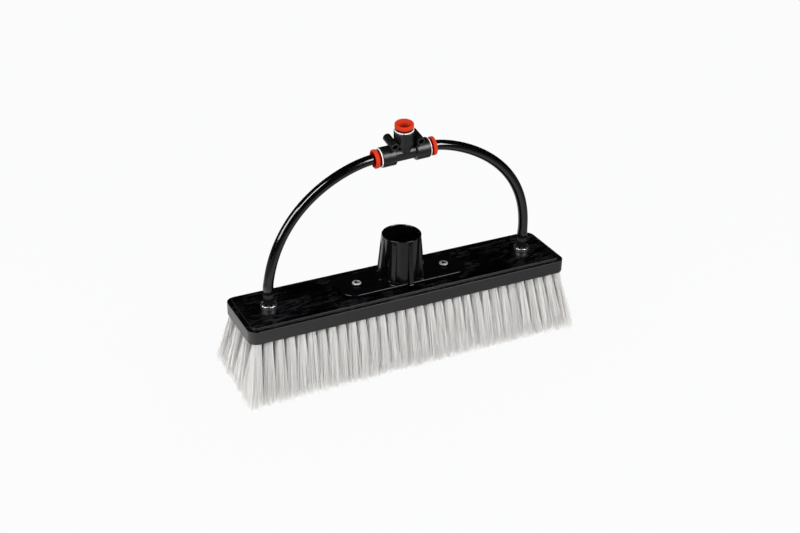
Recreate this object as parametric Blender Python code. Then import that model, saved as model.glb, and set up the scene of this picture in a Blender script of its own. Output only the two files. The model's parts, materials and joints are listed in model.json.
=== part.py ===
"""Water-fed brush head of a window cleaning pole.

A moulded brush block carries rows of nylon bristles, a ribbed pole socket held by two
screws, and a water jet near each end. A hoop of hose joins the two jets to a push-fit
tee, whose third port takes the supply hose that comes up the pole.

Frame: +X along the block, -Y is the front, +Z up. The origin is the middle of the
plane that the bristle tips stand on. All lengths are in metres.
"""

import math

import bmesh
import bpy
from mathutils import Euler, Matrix, Vector

MM = 0.001
FIT_GAP = 0.3 * MM            # space between neighbouring solids

# Brush block
BLOCK_LENGTH = 300 * MM
BLOCK_WIDTH = 62.6 * MM
BLOCK_CORNER = 8 * MM
BLOCK_EDGE_HEIGHT = 11.8 * MM
LEDGE_WIDTH = 3.9 * MM        # flat ledge around the raised top
LEDGE_STEP = 1.7 * MM
BLOCK_CHAMFER = 0.6 * MM

# Bristles
BRISTLE_LENGTH = 54 * MM      # below the block
BRISTLE_ROWS = 7
ROOT_FIELD_LENGTH = 287 * MM
ROOT_FIELD_WIDTH = 57.6 * MM
TIP_FIELD_LENGTH = 308.8 * MM
TIP_FIELD_WIDTH = 89 * MM
ROOT_ROW_GAP = 3 * MM
TIP_ROW_GAP = 1 * MM
ROW_CORNER_SHARE = 0.3        # corner radius as a share of the row's width

# Heights that follow
BLOCK_BOTTOM = BRISTLE_LENGTH
LEDGE_Z = BLOCK_BOTTOM + BLOCK_EDGE_HEIGHT
BLOCK_TOP = LEDGE_Z + LEDGE_STEP

# Pole socket
PLATE_LENGTH = 119 * MM
PLATE_WIDTH = 36 * MM
PLATE_CORNER = 12 * MM
PLATE_THICKNESS = 3 * MM
SOCKET_HEIGHT = 43 * MM       # rim above the block's top
SOCKET_RADIUS = 17.1 * MM
SOCKET_BORE_RADIUS = 15.6 * MM
RIB_COUNT = 8
RIB_WIDTH = 4 * MM
RIB_TOP_DROP = 4 * MM         # rib tops below the rim
RIB_TOP_RADIUS = 18.1 * MM
RIB_TOP_SLOPE = 0.5 * MM
RIB_FOOT_RADIUS = 21 * MM
RIB_FOOT_SUNK = 0.4 * MM      # level part of the foot, into the plate
RIB_UNDERCUT = 2.2 * MM       # height in which the foot slopes back under to the plate's edge

# Socket screws
SCREW_SPACING = 84 * MM
SCREW_HEAD_RADIUS = 4 * MM
SCREW_SHANK_RADIUS = 1.9 * MM
SCREW_LENGTH = 12 * MM
SCREW_HEAD_HEIGHT = 1.9 * MM
SCREW_HEAD_SIDE = 1.1 * MM    # straight part of the head's height
SCREW_SLOT_LENGTH = 4.6 * MM
SCREW_SLOT_WIDTH = 1.3 * MM
SCREW_SLOT_DEPTH = 1.5 * MM
SCREW_SLOT_ANGLE = math.radians(30)

# Jets
JET_SPACING = 244 * MM
JET_RADIUS = 4 * MM
JET_BORE_RADIUS = 1.5 * MM
NOZZLE_RADIUS = 0.9 * MM
JET_FLANGE_RADIUS = 5.7 * MM
JET_FLANGE_HEIGHT = 2.5 * MM
NOZZLE_DEPTH = 2 * MM
COLLAR_RADIUS = 4.2 * MM
COLLAR_BOTTOM = 9.7 * MM      # above the block's top
COLLAR_TOP = 12.7 * MM
HOSE_FOOT = 14.8 * MM         # lower end of the hose above the block's top
BARB_LENGTH = 4.6 * MM
BARB_RADIUS = 3.1 * MM
BARB_STEP = 0.5 * MM
RETAINER_RADIUS = 6.9 * MM
RETAINER_HEIGHT = 4.4 * MM
RETAINER_RIM_RADIUS = 5.3 * MM
RETAINER_TOOTH_RADIUS = 4.4 * MM
RETAINER_TEETH = 6
RETAINER_TOOTH_SHARE = 0.55   # of the pitch
RETAINER_TURN = math.radians(12)

# Hoses
HOSE_RADIUS = 4.3 * MM
HOSE_BORE_RADIUS = 3.2 * MM
HOSE_SWELL = 0.3 * MM         # where it is pushed over the barb
HOSE_SWELL_LENGTH = 5 * MM    # straight length over the barb
HOOP_AXIS_Z = BLOCK_TOP + HOSE_FOOT
FOOT_HANDLE = {"left": 80 * MM, "right": 78 * MM}     # how stiffly each hose leaves its jet
FOOT_LEAN = {"left": math.radians(7.6), "right": math.radians(-1.7)}    # towards the middle
TEE_HANDLE = 14 * MM                                  # how stiffly it leaves its port

# Tee: lengths along a port are measured from where the port axes meet
TEE_CENTRE = Vector((0.7 * MM, 0, 102.8 * MM))        # above the middle of the hoop's axis
TEE_LEAN = math.radians(8)    # inlet leans to the front
TEE_TILT = math.radians(-3.9)
TEE_YAW = math.radians(-2.5)
PORT_RADIUS = 8.6 * MM
TEE_WAIST_RADIUS = 6.4 * MM
PORT_START = 9.2 * MM
RUN_MOUTH = 21.2 * MM
INLET_MOUTH = 21.5 * MM
PORT_BORE_RADIUS = 7.2 * MM
PORT_BORE_DEPTH = 9 * MM      # below the mouth
HOSE_SEAT_RADIUS = 4.6 * MM
HOSE_SEAT_DEPTH = 12.2 * MM
WATERWAY_RADIUS = 3 * MM
BOSS_X = 11.6 * MM
BOSS_Z = 12.4 * MM
BOSS_RADIUS = 3.55 * MM
BOSS_BORE_RADIUS = 1.9 * MM
BOSS_LENGTH = 17.8 * MM
WEB_THICKNESS = 2.4 * MM
WEB_WIDTH = 6 * MM
WEB_X = BOSS_X - 1.5 * MM

# Push-fit parts in each port
RING_RADIUS = 8.2 * MM
RING_THICKNESS = 1.3 * MM
RING_BORE_RADIUS = 5.7 * MM
RING_SLEEVE_RADIUS = 6.9 * MM
RING_SLEEVE_DEPTH = 2.5 * MM  # into the port
COLLET_TRAVEL = 1.3 * MM
COLLET_FLANGE_RADIUS = 8.0 * MM
COLLET_FLANGE_THICKNESS = 3.4 * MM
COLLET_TUBE_RADIUS = 5.4 * MM
COLLET_BORE_RADIUS = 4.6 * MM
COLLET_LIP_RADIUS = 6.2 * MM
COLLET_LIP_HEIGHT = 1 * MM
COLLET_EDGE = 0.5 * MM        # chamfer of the flange
FUNNEL_RADIUS = 6.9 * MM
FUNNEL_DEPTH = 2.6 * MM
GRAB_THICKNESS = 0.5 * MM
GRAB_TEETH = 12
GRAB_TOOTH_SHARE = 0.7
SEAL_RADIUS = 5.75 * MM
SEAL_SECTION_RADIUS = 1.1 * MM

SMALL_SEGMENTS = 20
ROUND_SEGMENTS = 24
HOSE_SEGMENTS = 14
HOSE_STEPS = 22
TOOTH_SIDE_SLOPE = 0.05       # share of a gap that each side of a tooth takes
SIDES = (("left", -1), ("right", 1))
PORT_ROTATION = {"left": (0, -math.pi / 2, 0), "right": (0, math.pi / 2, 0), "inlet": (0, 0, 0)}


# ---------------------------------------------------------------- helpers

def clear_scene():
    for existing in list(bpy.data.objects):
        bpy.data.objects.remove(existing, do_unlink=True)


def make_material(name, colour, roughness, metallic=0.0):
    material = bpy.data.materials.new(name)
    material.use_nodes = True
    shader = material.node_tree.nodes["Principled BSDF"]
    shader.inputs["Base Color"].default_value = (*colour, 1.0)
    shader.inputs["Roughness"].default_value = roughness
    shader.inputs["Metallic"].default_value = metallic
    return material


def circle(radius, z, count):
    """Points of a level circle around the Z axis."""
    angles = [2 * math.pi * step / count for step in range(count)]
    return [Vector((radius * math.cos(a), radius * math.sin(a), z)) for a in angles]


def rounded_rectangle(length, width, corner, z, corner_steps=5):
    """Points of a level rectangle with rounded corners, centred on the Z axis."""
    points = []
    for quarter, (side_x, side_y) in enumerate(((1, 1), (-1, 1), (-1, -1), (1, -1))):
        centre_x = side_x * (length / 2 - corner)
        centre_y = side_y * (width / 2 - corner)
        for step in range(corner_steps + 1):
            angle = math.pi / 2 * (quarter + step / corner_steps)
            points.append(Vector((centre_x + corner * math.cos(angle),
                                  centre_y + corner * math.sin(angle), z)))
    return points


def loft(name, sections, closed=False):
    """Mesh through sections of equal point count.

    A closed loft joins the last section to the first, like a ring. An open one is
    capped with a flat face at each end.
    """
    mesh = bmesh.new()
    rings = [[mesh.verts.new(point) for point in section] for section in sections]
    pairs = list(zip(rings, rings[1:]))
    if closed:
        pairs.append((rings[-1], rings[0]))
    else:
        mesh.faces.new(rings[0])
        mesh.faces.new(rings[-1])
    for lower, upper in pairs:
        count = len(lower)
        for i in range(count):
            j = (i + 1) % count
            mesh.faces.new((lower[i], lower[j], upper[j], upper[i]))
    bmesh.ops.recalc_face_normals(mesh, faces=mesh.faces)
    data = bpy.data.meshes.new(name)
    mesh.to_mesh(data)
    mesh.free()
    data.shade_smooth()
    data.set_sharp_from_angle(angle=math.radians(35))
    return data


def turned(name, profile, count=SMALL_SEGMENTS, closed=True):
    """Mesh of a profile of (radius, z) pairs turned around the Z axis."""
    return loft(name, [circle(radius, z, count) for radius, z in profile], closed)


def place(name, mesh, material=None, location=(0, 0, 0), rotation=(0, 0, 0), parent=None):
    placed = bpy.data.objects.new(name, mesh)
    bpy.context.scene.collection.objects.link(placed)
    placed.location = location
    placed.rotation_euler = rotation
    placed.parent = parent
    if material:
        placed.data.materials.clear()
        placed.data.materials.append(material)
    return placed


def guide(name, mesh, location=(0, 0, 0), rotation=(0, 0, 0), parent=None):
    """A shape that only cuts or adds to another, and isn't a part itself."""
    helper = place(name, mesh, None, location, rotation, parent)
    helper.hide_render = True
    helper.display_type = 'WIRE'
    return helper


def axis_empty(name, location, rotation=(0, 0, 0), parent=None):
    """Empty on the axis of a joint; the pieces that move about it are its children."""
    empty = bpy.data.objects.new(name, None)
    bpy.context.scene.collection.objects.link(empty)
    empty.location = location
    empty.rotation_euler = rotation
    empty.parent = parent
    return empty


def boolean(target, helper, operation):
    modifier = target.modifiers.new(f"{operation}_{helper.name}", 'BOOLEAN')
    modifier.operation = operation
    modifier.solver = 'EXACT'
    modifier.object = helper


def ribbed_section(body_radius, rib_radius, z):
    """Circle with square ribs standing out of it."""
    root_half = math.asin(RIB_WIDTH / 2 / body_radius)
    crest_half = math.asin(RIB_WIDTH / 2 / rib_radius)
    points = []
    for rib in range(RIB_COUNT):
        middle = 2 * math.pi * rib / RIB_COUNT
        next_root = middle + 2 * math.pi / RIB_COUNT - root_half
        polar = [(middle - root_half, body_radius), (middle - crest_half, rib_radius),
                 (middle + crest_half, rib_radius), (middle + root_half, body_radius)]
        between = next_root - middle - root_half
        polar += [(middle + root_half + between * step / 3, body_radius) for step in (1, 2)]
        points += [Vector((radius * math.cos(a), radius * math.sin(a), z)) for a, radius in polar]
    return points


def toothed_circle(rim_radius, tooth_radius, teeth, tooth_share, z):
    """Circle with square teeth pointing inwards, four points a tooth."""
    points = []
    for tooth in range(teeth):
        start = 2 * math.pi * tooth / teeth
        tooth_end = start + 2 * math.pi / teeth * tooth_share
        gap_end = start + 2 * math.pi / teeth
        inset = (gap_end - tooth_end) * TOOTH_SIDE_SLOPE
        polar = [(start, tooth_radius), (tooth_end, tooth_radius),
                 (tooth_end + inset, rim_radius), (gap_end - inset, rim_radius)]
        points += [Vector((radius * math.cos(a), radius * math.sin(a), z)) for a, radius in polar]
    return points


def toothed_ring(name, outer_radius, rim_radius, tooth_radius, teeth, tooth_share, height):
    """Flat ring, from z = 0 to its height, whose bore has teeth."""
    def outer(z):
        inner = toothed_circle(rim_radius, tooth_radius, teeth, tooth_share, z)
        return [Vector((*(point.xy.normalized() * outer_radius), z)) for point in inner]
    inner_top = toothed_circle(rim_radius, tooth_radius, teeth, tooth_share, height)
    inner_bottom = toothed_circle(rim_radius, tooth_radius, teeth, tooth_share, 0)
    return loft(name, [outer(0), outer(height), inner_top, inner_bottom], closed=True)


def bezier(start, start_handle, end_handle, end, share):
    rest = 1 - share
    return (start * rest ** 3 + start_handle * 3 * rest ** 2 * share
            + end_handle * 3 * rest * share ** 2 + end * share ** 3)


def swept_tube(name, path, outer_radii, inner_radii, count):
    """Hollow tube along a path that stays close to the XZ plane."""
    outer = []
    inner = []
    for i, point in enumerate(path):
        ahead = path[min(i + 1, len(path) - 1)]
        behind = path[max(i - 1, 0)]
        along = (ahead - behind).normalized()
        side = along.cross(Vector((0, 1, 0))).normalized()
        other = along.cross(side)
        spokes = [side * math.cos(2 * math.pi * k / count) + other * math.sin(2 * math.pi * k / count)
                  for k in range(count)]
        outer.append([point + spoke * outer_radii[i] for spoke in spokes])
        inner.append([point + spoke * inner_radii[i] for spoke in spokes])
    return loft(name, outer + inner[::-1], closed=True)


# ---------------------------------------------------------------- block and bristles

def brush_block(material):
    """Block with a ledge around its raised top, holes for the jets and for the screws."""
    top_length = BLOCK_LENGTH - 2 * LEDGE_WIDTH
    top_width = BLOCK_WIDTH - 2 * LEDGE_WIDTH
    top_corner = BLOCK_CORNER - LEDGE_WIDTH
    chamfer = BLOCK_CHAMFER
    sections = [
        rounded_rectangle(BLOCK_LENGTH - 2 * chamfer, BLOCK_WIDTH - 2 * chamfer,
                          BLOCK_CORNER - chamfer, BLOCK_BOTTOM),
        rounded_rectangle(BLOCK_LENGTH, BLOCK_WIDTH, BLOCK_CORNER, BLOCK_BOTTOM + chamfer),
        rounded_rectangle(BLOCK_LENGTH, BLOCK_WIDTH, BLOCK_CORNER, LEDGE_Z),
        rounded_rectangle(top_length, top_width, top_corner, LEDGE_Z),
        rounded_rectangle(top_length, top_width, top_corner, BLOCK_TOP),
    ]
    block = place("brush_block", loft("brush_block", sections), material)

    flange_hole_top = JET_FLANGE_HEIGHT + 2 * FIT_GAP
    overshoot = 1 * MM
    jet_hole = turned("jet_hole", [
        (JET_RADIUS + FIT_GAP, BLOCK_TOP - BLOCK_BOTTOM + overshoot),
        (JET_RADIUS + FIT_GAP, flange_hole_top),
        (JET_FLANGE_RADIUS + FIT_GAP, flange_hole_top),
        (JET_FLANGE_RADIUS + FIT_GAP, -overshoot),
    ], closed=False)
    screw_hole = turned("screw_hole", [
        (SCREW_SHANK_RADIUS + FIT_GAP, overshoot),
        (SCREW_SHANK_RADIUS + FIT_GAP, PLATE_THICKNESS - SCREW_LENGTH - FIT_GAP),
    ], count=12, closed=False)
    for side, sign in SIDES:
        jet = guide(f"jet_hole_{side}", jet_hole, (sign * JET_SPACING / 2, 0, BLOCK_BOTTOM))
        screw = guide(f"screw_hole_{side}", screw_hole, (sign * SCREW_SPACING / 2, 0, BLOCK_TOP))
        boolean(block, jet, 'DIFFERENCE')
        boolean(block, screw, 'DIFFERENCE')


def bristle_rows(material):
    """One solid a row, spreading from the roots under the block to the tips."""
    root_pitch = ROOT_FIELD_WIDTH / BRISTLE_ROWS
    tip_pitch = TIP_FIELD_WIDTH / BRISTLE_ROWS
    for row in range(BRISTLE_ROWS):
        offset = row - (BRISTLE_ROWS - 1) / 2
        sections = []
        for z, length, pitch, gap in (
                (0, TIP_FIELD_LENGTH, tip_pitch, TIP_ROW_GAP),
                (BLOCK_BOTTOM - FIT_GAP, ROOT_FIELD_LENGTH, root_pitch, ROOT_ROW_GAP)):
            corner = (pitch - gap) * ROW_CORNER_SHARE
            outline = rounded_rectangle(length, pitch - gap, corner, z, corner_steps=1)
            sections.append([point + Vector((0, offset * pitch, 0)) for point in outline])
        place(f"bristle_row_{row + 1}", loft(f"bristle_row_{row + 1}", sections), material)


# ---------------------------------------------------------------- pole socket

def pole_socket(material):
    """Screwed plate with a ribbed tube that takes the end of the pole."""
    plate_top = BLOCK_TOP + PLATE_THICKNESS
    rim = BLOCK_TOP + SOCKET_HEIGHT
    rib_top = rim - RIB_TOP_DROP
    plate_bottom = BLOCK_TOP + FIT_GAP
    socket = place("pole_socket", loft("pole_socket", [
        rounded_rectangle(PLATE_LENGTH, PLATE_WIDTH, PLATE_CORNER, plate_bottom),
        rounded_rectangle(PLATE_LENGTH, PLATE_WIDTH, PLATE_CORNER, plate_top),
    ]), material)

    foot = plate_top - RIB_FOOT_SUNK
    nearly_flush = SOCKET_RADIUS + 0.02 * MM
    tube = guide("socket_tube", loft("socket_tube", [
        ribbed_section(SOCKET_RADIUS, PLATE_WIDTH / 2, foot - RIB_UNDERCUT),
        ribbed_section(SOCKET_RADIUS, RIB_FOOT_RADIUS, foot),
        ribbed_section(SOCKET_RADIUS, RIB_TOP_RADIUS, rib_top),
        ribbed_section(SOCKET_RADIUS, nearly_flush, rib_top + RIB_TOP_SLOPE),
        ribbed_section(SOCKET_RADIUS, nearly_flush, rim),
    ]))
    boolean(socket, tube, 'UNION')

    overshoot = 2 * MM
    bore = guide("socket_bore", turned("socket_bore", [
        (SOCKET_BORE_RADIUS, rim + overshoot),
        (SOCKET_BORE_RADIUS, BLOCK_TOP - overshoot),
    ], count=40, closed=False))
    boolean(socket, bore, 'DIFFERENCE')

    hole_radius = SCREW_SHANK_RADIUS + FIT_GAP
    hole = turned("screw_hole", [
        (hole_radius, overshoot),
        (hole_radius, -PLATE_THICKNESS - overshoot),
    ], closed=False)
    for side, sign in SIDES:
        cutter = guide(f"screw_hole_{side}", hole, (sign * SCREW_SPACING / 2, 0, plate_top))
        boolean(socket, cutter, 'DIFFERENCE')


def socket_screws(material):
    """Pan-head screws with a cross recess, their heads standing on the plate."""
    head_top = FIT_GAP + SCREW_HEAD_HEIGHT
    head_round = SCREW_HEAD_HEIGHT - SCREW_HEAD_SIDE
    body = turned("socket_screw", [
        (SCREW_HEAD_RADIUS - head_round, head_top),
        (SCREW_HEAD_RADIUS - head_round / 3, head_top - head_round / 3),
        (SCREW_HEAD_RADIUS, head_top - head_round),
        (SCREW_HEAD_RADIUS, FIT_GAP),
        (SCREW_SHANK_RADIUS, FIT_GAP),
        (SCREW_SHANK_RADIUS, 1 * MM - SCREW_LENGTH),
        (SCREW_SHANK_RADIUS / 2, FIT_GAP - SCREW_LENGTH),
    ], count=16, closed=False)
    for side, sign in SIDES:
        where = (sign * SCREW_SPACING / 2, 0, BLOCK_TOP + PLATE_THICKNESS)
        screw = place(f"socket_screw_{side}", body.copy(), material, where)
        for turn in (0, 1):
            slot = loft("cross_slot", [
                rounded_rectangle(SCREW_SLOT_LENGTH, SCREW_SLOT_WIDTH, SCREW_SLOT_WIDTH / 4, z,
                                  corner_steps=1)
                for z in (head_top - SCREW_SLOT_DEPTH, head_top + SCREW_SLOT_DEPTH)])
            cutter = guide(f"cross_slot_{side}_{turn}", slot, where,
                           (0, 0, SCREW_SLOT_ANGLE + math.pi / 2 * turn))
            boolean(screw, cutter, 'DIFFERENCE')


# ---------------------------------------------------------------- jets and hoses

def jets(stem_material, retainer_material):
    """Jet stems up through the block, each held by a toothed push-on retainer."""
    top = BLOCK_TOP - BLOCK_BOTTOM
    foot = top + HOSE_FOOT
    tip = foot + BARB_LENGTH
    barb_root = BARB_RADIUS - BARB_STEP
    bore = JET_BORE_RADIUS
    stem = turned("jet_stem", [
        (NOZZLE_RADIUS, FIT_GAP),
        (JET_FLANGE_RADIUS, FIT_GAP),
        (JET_FLANGE_RADIUS, FIT_GAP + JET_FLANGE_HEIGHT),
        (JET_RADIUS, FIT_GAP + JET_FLANGE_HEIGHT),
        (JET_RADIUS, top + COLLAR_BOTTOM - 1 * MM),
        (COLLAR_RADIUS, top + COLLAR_BOTTOM),
        (COLLAR_RADIUS, top + COLLAR_TOP),
        (BARB_RADIUS, top + COLLAR_TOP + 0.6 * MM),
        (BARB_RADIUS, foot + 1 * MM),
        (barb_root, foot + 1.3 * MM),
        (BARB_RADIUS, foot + 3 * MM),
        (barb_root, tip),
        (bore, tip),
        (bore, FIT_GAP + NOZZLE_DEPTH + 1 * MM),
        (NOZZLE_RADIUS, FIT_GAP + NOZZLE_DEPTH),
    ])
    retainer = toothed_ring("jet_retainer", RETAINER_RADIUS, RETAINER_RIM_RADIUS,
                            RETAINER_TOOTH_RADIUS, RETAINER_TEETH, RETAINER_TOOTH_SHARE,
                            RETAINER_HEIGHT - FIT_GAP)
    for side, sign in SIDES:
        x = sign * JET_SPACING / 2
        place(f"jet_stem_{side}", stem.copy(), stem_material, (x, 0, BLOCK_BOTTOM))
        place(f"jet_retainer_{side}", retainer.copy(), retainer_material,
              (x, 0, BLOCK_TOP + FIT_GAP), (0, 0, RETAINER_TURN))


def hoses(material, hoop):
    """Two hoses that rise from the jets and meet in line at the tee."""
    run = Euler((TEE_LEAN, TEE_TILT, TEE_YAW)).to_matrix() @ Vector((1, 0, 0))
    mouth = RUN_MOUTH + FIT_GAP + RING_THICKNESS + COLLET_TRAVEL + COLLET_FLANGE_THICKNESS
    seat = RUN_MOUTH - HOSE_SEAT_DEPTH + FIT_GAP
    for side, sign in SIDES:
        foot = Vector((sign * JET_SPACING / 2, 0, 0))
        above_barb = foot + Vector((0, 0, HOSE_SWELL_LENGTH))
        lean = FOOT_LEAN[side]
        upwards = Vector((-sign * math.sin(lean), 0, math.cos(lean)))
        outwards = run * sign
        at_collet = TEE_CENTRE + outwards * mouth
        path = [foot, foot.lerp(above_barb, 0.7)]
        path += [bezier(above_barb, above_barb + upwards * FOOT_HANDLE[side],
                        at_collet + outwards * TEE_HANDLE, at_collet, step / HOSE_STEPS)
                 for step in range(HOSE_STEPS + 1)]
        path.append(TEE_CENTRE + outwards * seat)
        swell = [HOSE_SWELL, HOSE_SWELL] + [0.0] * (len(path) - 2)
        place(f"hose_{side}", swept_tube(
            f"hose_{side}", path, [HOSE_RADIUS + extra for extra in swell],
            [HOSE_BORE_RADIUS + extra for extra in swell], HOSE_SEGMENTS), material, parent=hoop)


# ---------------------------------------------------------------- push-fit tee

def port_cutter(name, mouth, rotation, tee):
    """Stepped bore of one port: waterway, hose seat and the bore for the push-fit parts."""
    bore_floor = mouth - PORT_BORE_DEPTH
    seat_floor = mouth - HOSE_SEAT_DEPTH
    return guide(name, turned(name, [
        (PORT_BORE_RADIUS, mouth + 2 * MM),
        (PORT_BORE_RADIUS, bore_floor),
        (HOSE_SEAT_RADIUS, bore_floor),
        (HOSE_SEAT_RADIUS, seat_floor),
        (WATERWAY_RADIUS, seat_floor),
        (WATERWAY_RADIUS, -1.5 * MM),
    ], closed=False), rotation=rotation, parent=tee)


def tee_body(material, tee):
    """Hollow tee with a round shell at each port and two mounting bosses."""
    start = PORT_START
    along_x = (0, math.pi / 2, 0)
    body = place("tee_body", turned("tee_body", [
        (PORT_RADIUS, -RUN_MOUTH),
        (PORT_RADIUS, -start),
        (TEE_WAIST_RADIUS, -start),
        (TEE_WAIST_RADIUS, start),
        (PORT_RADIUS, start),
        (PORT_RADIUS, RUN_MOUTH),
    ], ROUND_SEGMENTS, closed=False), material, rotation=along_x, parent=tee)
    branch = guide("tee_branch", turned("tee_branch", [
        (TEE_WAIST_RADIUS - 0.05 * MM, -0.5 * MM),
        (TEE_WAIST_RADIUS - 0.05 * MM, start),
        (PORT_RADIUS, start),
        (PORT_RADIUS, INLET_MOUTH),
    ], ROUND_SEGMENTS, closed=False), parent=tee)
    boolean(body, branch, 'UNION')

    web_low = PORT_RADIUS - 1 * MM
    for side, sign in SIDES:
        web = loft("web", [
            rounded_rectangle(WEB_WIDTH, WEB_THICKNESS, 0.2 * MM, z, corner_steps=1)
            for z in (web_low, BOSS_Z)])
        boolean(body, guide(f"web_{side}", web, (sign * WEB_X, 0, 0), parent=tee), 'UNION')
        boss = turned("boss", [(BOSS_RADIUS, -BOSS_LENGTH / 2), (BOSS_RADIUS, BOSS_LENGTH / 2)],
                      16, closed=False)
        boolean(body, guide(f"boss_{side}", boss, (sign * BOSS_X, 0, BOSS_Z),
                            (math.pi / 2, 0, 0), tee), 'UNION')
        hole = turned("boss_hole", [(BOSS_BORE_RADIUS, -BOSS_LENGTH), (BOSS_BORE_RADIUS, BOSS_LENGTH)],
                      12, closed=False)
        boolean(body, guide(f"boss_hole_{side}", hole, (sign * BOSS_X, 0, BOSS_Z),
                            (math.pi / 2, 0, 0), tee), 'DIFFERENCE')
    for port, rotation in PORT_ROTATION.items():
        mouth = INLET_MOUTH if port == "inlet" else RUN_MOUTH
        boolean(body, port_cutter(f"port_bore_{port}", mouth, rotation, tee), 'DIFFERENCE')


def port_parts(port, mouth, rotation, materials, tee):
    """Seal, grab ring, retaining ring and release collet of one port."""
    bore_floor = mouth - PORT_BORE_DEPTH
    ring_bottom = mouth + FIT_GAP
    ring_top = ring_bottom + RING_THICKNESS
    sleeve_end = mouth - RING_SLEEVE_DEPTH

    seal_height = bore_floor + FIT_GAP + SEAL_SECTION_RADIUS
    seal_steps = [2 * math.pi * step / 8 for step in range(8)]
    seal = turned(f"seal_{port}", [
        (SEAL_RADIUS + SEAL_SECTION_RADIUS * math.cos(angle),
         seal_height + SEAL_SECTION_RADIUS * math.sin(angle)) for angle in seal_steps])
    place(f"seal_{port}", seal, materials["seal"], rotation=rotation, parent=tee)

    grab_height = seal_height + SEAL_SECTION_RADIUS + FIT_GAP
    grab = toothed_ring(f"grab_ring_{port}", RING_SLEEVE_RADIUS, COLLET_TUBE_RADIUS + 2 * FIT_GAP,
                        COLLET_BORE_RADIUS, GRAB_TEETH, GRAB_TOOTH_SHARE, GRAB_THICKNESS)
    grab.transform(Matrix.Translation((0, 0, grab_height)))
    place(f"grab_ring_{port}", grab, materials["steel"], rotation=rotation, parent=tee)

    ring = turned(f"port_ring_{port}", [
        (RING_BORE_RADIUS, sleeve_end),
        (RING_SLEEVE_RADIUS, sleeve_end),
        (RING_SLEEVE_RADIUS, ring_bottom),
        (RING_RADIUS, ring_bottom),
        (RING_RADIUS, ring_top),
        (RING_BORE_RADIUS, ring_top),
    ], ROUND_SEGMENTS)
    place(f"port_ring_{port}", ring, materials["ring"], rotation=rotation, parent=tee)

    flange_bottom = ring_top + COLLET_TRAVEL
    face = flange_bottom + COLLET_FLANGE_THICKNESS
    lip_top = sleeve_end - FIT_GAP
    collet = turned(f"collet_{port}", [
        (COLLET_TUBE_RADIUS, flange_bottom),
        (COLLET_FLANGE_RADIUS - COLLET_EDGE, flange_bottom),
        (COLLET_FLANGE_RADIUS, flange_bottom + COLLET_EDGE),
        (COLLET_FLANGE_RADIUS, face - COLLET_EDGE),
        (COLLET_FLANGE_RADIUS - COLLET_EDGE, face),
        (FUNNEL_RADIUS, face),
        (COLLET_BORE_RADIUS, face - FUNNEL_DEPTH),
        (COLLET_BORE_RADIUS, lip_top - COLLET_LIP_HEIGHT),
        (COLLET_TUBE_RADIUS, lip_top - COLLET_LIP_HEIGHT),
        (COLLET_LIP_RADIUS, lip_top - COLLET_LIP_HEIGHT / 2),
        (COLLET_LIP_RADIUS, lip_top),
        (COLLET_TUBE_RADIUS, lip_top),
    ], ROUND_SEGMENTS)
    place(f"collet_{port}", collet, materials["collet"], rotation=rotation, parent=tee)


# ---------------------------------------------------------------- assembly

def build():
    clear_scene()
    gloss_black = make_material("gloss_black_plastic", (0.012, 0.012, 0.014), 0.25)
    satin_black = make_material("satin_black_plastic", (0.035, 0.036, 0.04), 0.45)
    hose_black = make_material("black_hose", (0.02, 0.02, 0.022), 0.2)
    nylon = make_material("grey_nylon", (0.62, 0.62, 0.61), 0.6)
    steel = make_material("bright_steel", (0.7, 0.69, 0.66), 0.25, 1.0)
    ring_white = make_material("pale_ring", (0.85, 0.83, 0.82), 0.3)
    orange = make_material("orange_acetal", (0.80, 0.07, 0.02), 0.35)
    rubber = make_material("black_rubber", (0.02, 0.02, 0.02), 0.7)

    brush_block(gloss_black)
    bristle_rows(nylon)
    pole_socket(gloss_black)
    socket_screws(steel)
    jets(gloss_black, steel)

    hoop = axis_empty("hoop_axis", (0, 0, HOOP_AXIS_Z))
    hoses(hose_black, hoop)
    tee = axis_empty("tee_axis", TEE_CENTRE, (TEE_LEAN, TEE_TILT, TEE_YAW), hoop)
    tee_body(satin_black, tee)
    port_materials = {"seal": rubber, "steel": steel, "ring": ring_white, "collet": orange}
    for port, rotation in PORT_ROTATION.items():
        mouth = INLET_MOUTH if port == "inlet" else RUN_MOUTH
        port_parts(port, mouth, rotation, port_materials, tee)


build()
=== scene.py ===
"""Looks of the water-fed brush head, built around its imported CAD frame.

Every visible piece is rebuilt finely in the place its CAD node holds, rides on the same
body and gets a procedural material. Lengths are in metres, in the CAD's frame: +X along
the block, -Y the front, +Z up, and the bristle tips stand on z = 0.
"""

import json
import math

import bmesh
import bpy
import numpy as np
from mathutils import Matrix, Vector

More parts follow.
